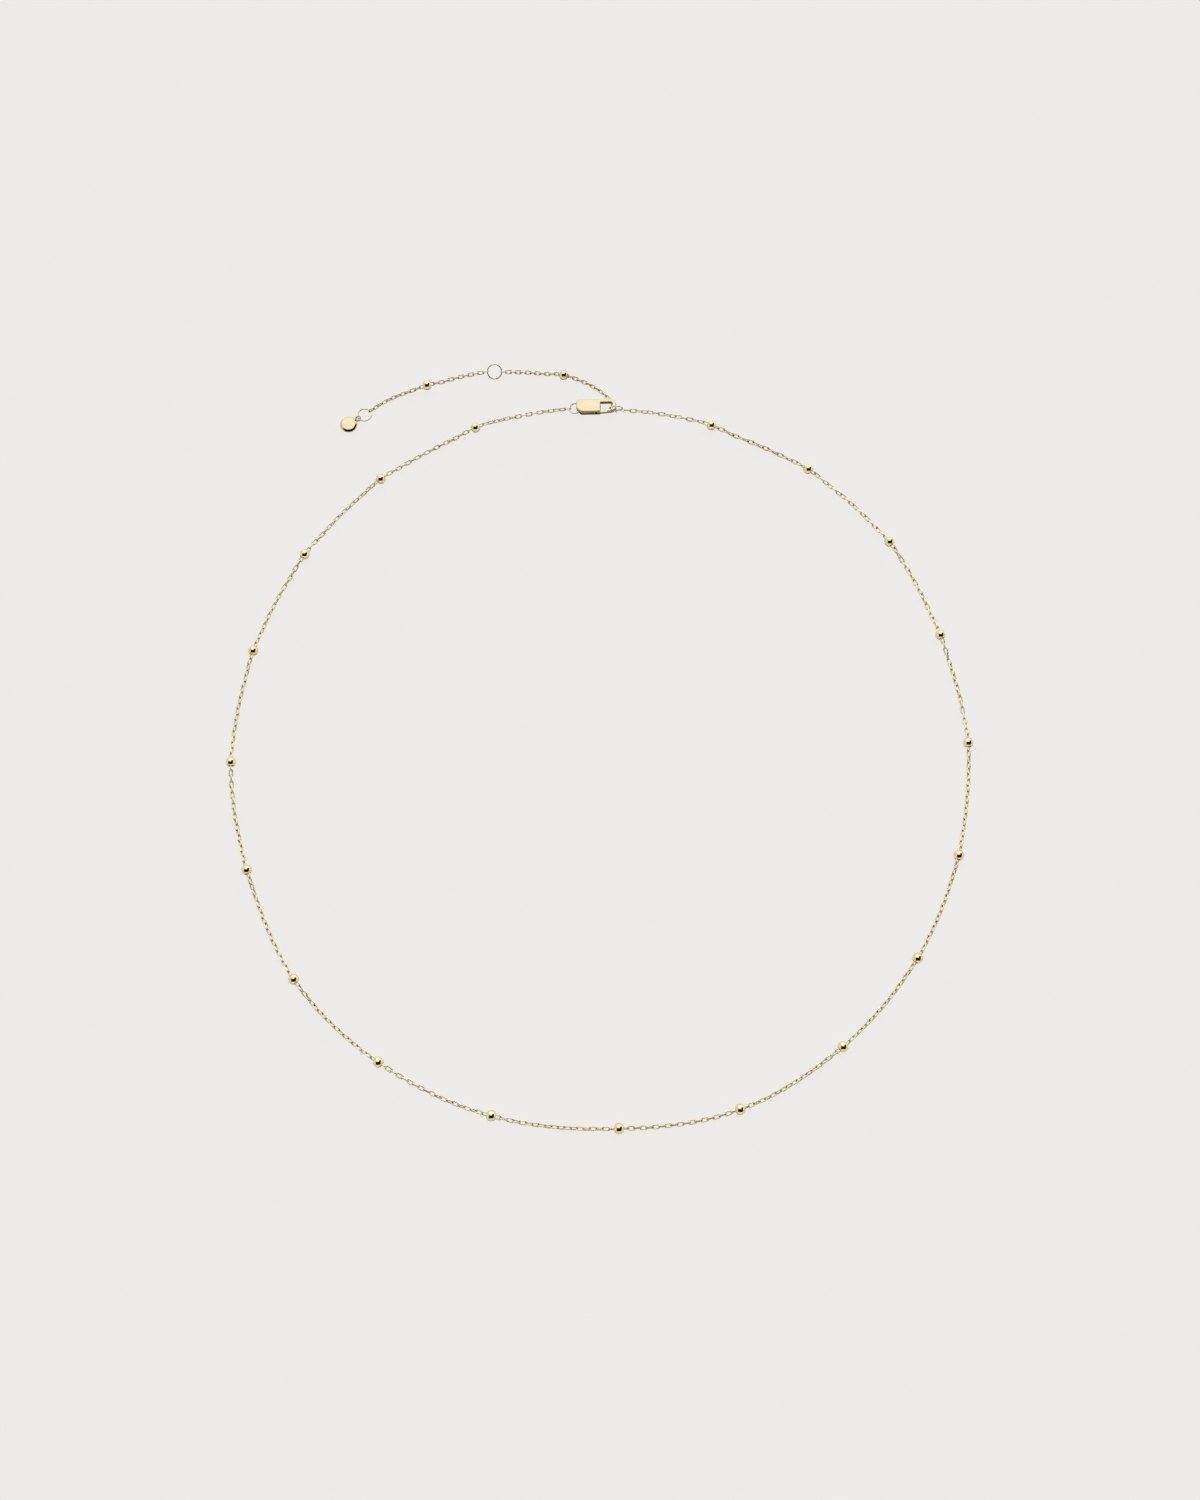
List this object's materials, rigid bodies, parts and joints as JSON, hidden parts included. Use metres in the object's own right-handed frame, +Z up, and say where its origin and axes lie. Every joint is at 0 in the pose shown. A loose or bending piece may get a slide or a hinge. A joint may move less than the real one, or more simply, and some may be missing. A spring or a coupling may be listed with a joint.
{
  "type": "beaded chain necklace",
  "caption": "Fine gold cable chain necklace with evenly spaced round beads, a small trigger clasp and an extender chain with two more rings and a round tag, lying in an open loop.",
  "frame": {"origin": "middle of the whole necklace as it lies, on the surface that it rests on", "axes": "+Z up from the surface, +Y from the front of the loop towards the clasp and extender, +X to the right seen from above with the clasp at the top"},
  "size_m": [0.1288, 0.14, 0.0028],
  "materials": {
    "chain_gold": "polished yellow gold, fine wire",
    "bead_gold": "mirror-polished yellow gold",
    "ring_gold": "polished yellow gold",
    "clasp_gold": "polished yellow gold with soft-brushed faces",
    "tag_gold": "polished yellow gold, bare face"
  },
  "bodies": {
    "necklace": {"chain_right": "chain_gold", "chain_left": "chain_gold", "hook_link": "chain_gold", "tail_link": "chain_gold", "bead_01": "bead_gold", "bead_02": "bead_gold", "bead_03": "bead_gold", "bead_04": "bead_gold", "bead_05": "bead_gold", "bead_06": "bead_gold", "bead_07": "bead_gold", "bead_08": "bead_gold", "bead_09": "bead_gold", "bead_10": "bead_gold", "bead_11": "bead_gold", "bead_12": "bead_gold", "bead_13": "bead_gold", "bead_14": "bead_gold", "bead_15": "bead_gold", "bead_16": "bead_gold", "bead_17": "bead_gold", "bead_18": "bead_gold", "bead_19": "bead_gold", "extender_chain_1": "chain_gold", "extender_chain_2": "chain_gold", "extender_bead_1": "bead_gold", "extender_bead_2": "bead_gold", "hook_ring": "ring_gold", "middle_ring": "ring_gold", "end_ring": "ring_gold", "tail_ring": "ring_gold", "clasp_body": "clasp_gold", "tag": "tag_gold"},
    "lever": {"clasp_lever": "clasp_gold"}
  },
  "joints": [
    {"name": "lever_hinge", "type": "hinge", "parent": "necklace", "child": "lever", "pos_m": [-0.00043, 0.06022, 0.00093], "axis": [-0.0784, 0.0016, 0.9969], "range_deg": [0, 28], "stiffness_Nm_per_rad": 0.001}
  ]
}
